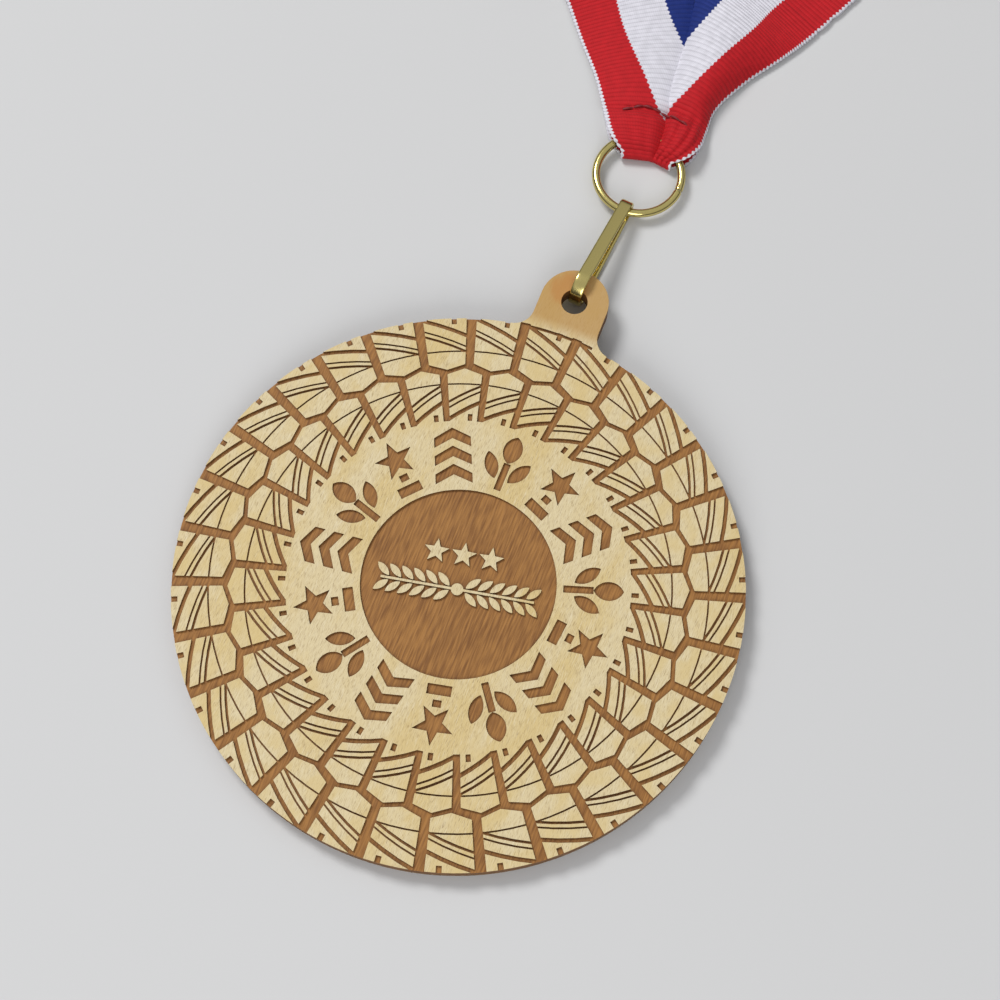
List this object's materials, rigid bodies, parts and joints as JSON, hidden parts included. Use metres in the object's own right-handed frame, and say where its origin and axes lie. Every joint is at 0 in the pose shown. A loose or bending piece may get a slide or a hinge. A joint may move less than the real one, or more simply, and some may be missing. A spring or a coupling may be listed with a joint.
{
  "type": "medal",
  "caption": "Round laser-engraved plywood medal with a lug, a flat brass link, a split ring and a striped neck ribbon, lying on a table with the spare ribbon folded",
  "frame": {"origin": "centre of the disc's flat back", "axes": "+Z out of the engraved face, +Y towards the lug, link, ring and ribbon, +X to the right of the face"},
  "size_m": [0.072, 0.1786, 0.0085],
  "materials": {
    "engraved_veneer": "birch face veneer, laser engraved, unvarnished",
    "core_veneer": "birch core veneer with a charred laser-cut edge",
    "back_veneer": "plain birch back veneer, unvarnished",
    "link_brass": "bright brass-plated flat strip",
    "ring_brass": "bright brass-plated round wire",
    "ribbon_cloth": "ribbed grosgrain in red, white and blue stripes",
    "sewing_thread": "dark red sewing thread"
  },
  "bodies": {
    "medal": {"face_ply": "engraved_veneer", "core_ply": "core_veneer", "back_ply": "back_veneer"},
    "link": {"oval_link": "link_brass"},
    "ring": {"split_ring": "ring_brass", "sewn_loop": "ribbon_cloth"},
    "ribbon": {"neck_ribbon": "ribbon_cloth", "stitching": "sewing_thread"}
  },
  "joints": [
    {"name": "link_swing", "type": "hinge", "parent": "medal", "child": "link", "pos_m": [0, 0.04305, 0.00125], "axis": [0.9962, -0.0871, 0.0016], "range_deg": [-90, 90]},
    {"name": "ring_swing", "type": "hinge", "parent": "link", "child": "ring", "pos_m": [0.00111, 0.05572, -0.00023], "axis": [1, 0, 0], "range_deg": [-45, 45]},
    {"name": "ribbon_flex", "type": "hinge", "parent": "ring", "child": "ribbon", "pos_m": [0.00111, 0.06895, -0.00136], "axis": [1, 0, 0], "range_deg": [-45, 45]}
  ]
}
